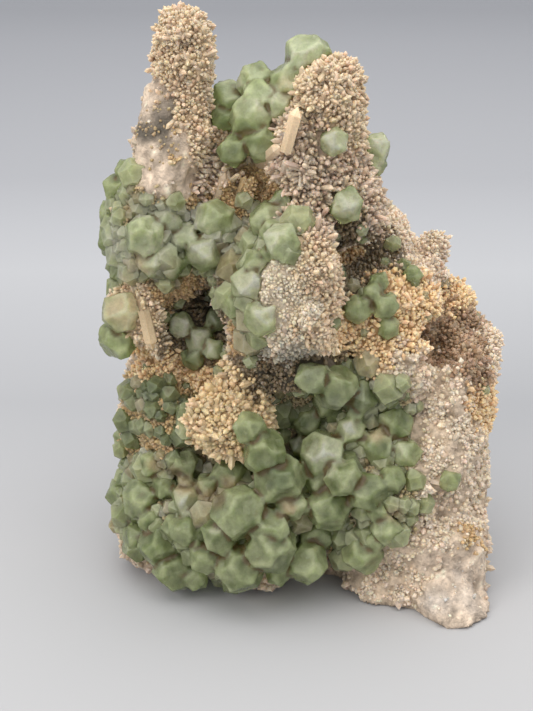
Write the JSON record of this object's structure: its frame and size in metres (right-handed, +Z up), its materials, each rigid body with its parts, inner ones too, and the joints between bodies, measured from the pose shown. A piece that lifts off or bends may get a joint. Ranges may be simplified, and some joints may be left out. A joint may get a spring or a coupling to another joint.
{
  "type": "fluorite with quartz",
  "caption": "Cabinet mineral specimen: green fluorite crystals in clusters on pale druse quartz rock with a spire, a mound and a thick flank, standing on its own flat base",
  "frame": {"origin": "middle of the specimen's box at the level that it stands on", "axes": "+Z up along the spire, which is the longest way; the side with the large fluorite cluster faces -Y, and the spire is to the left at -X seen from there"},
  "size_m": [0.1058, 0.081, 0.1468],
  "materials": {
    "fluorite_back": "satin",
    "fluorite_crest": "satin",
    "fluorite_flank": "satin",
    "fluorite_front": "satin",
    "fluorite_horn": "satin",
    "fluorite_knob": "satin",
    "fluorite_ledge": "satin",
    "fluorite_left_side": "satin",
    "fluorite_mound_front": "satin",
    "fluorite_mound_low": "satin",
    "fluorite_mound_right": "satin",
    "fluorite_pocket": "satin",
    "fluorite_shoulder": "satin",
    "fluorite_shoulder_edge": "satin",
    "fluorite_wing": "satin",
    "quartz_rock": "matte"
  },
  "bodies": {
    "root": {"fluorite_back": "fluorite_back", "fluorite_crest": "fluorite_crest", "fluorite_flank": "fluorite_flank", "fluorite_front": "fluorite_front", "fluorite_horn": "fluorite_horn", "fluorite_knob": "fluorite_knob", "fluorite_ledge": "fluorite_ledge", "fluorite_left_side": "fluorite_left_side", "fluorite_mound_front": "fluorite_mound_front", "fluorite_mound_low": "fluorite_mound_low", "fluorite_mound_right": "fluorite_mound_right", "fluorite_pocket": "fluorite_pocket", "fluorite_shoulder": "fluorite_shoulder", "fluorite_shoulder_edge": "fluorite_shoulder_edge", "fluorite_wing": "fluorite_wing", "quartz_rock": "quartz_rock"}
  },
  "joints": []
}
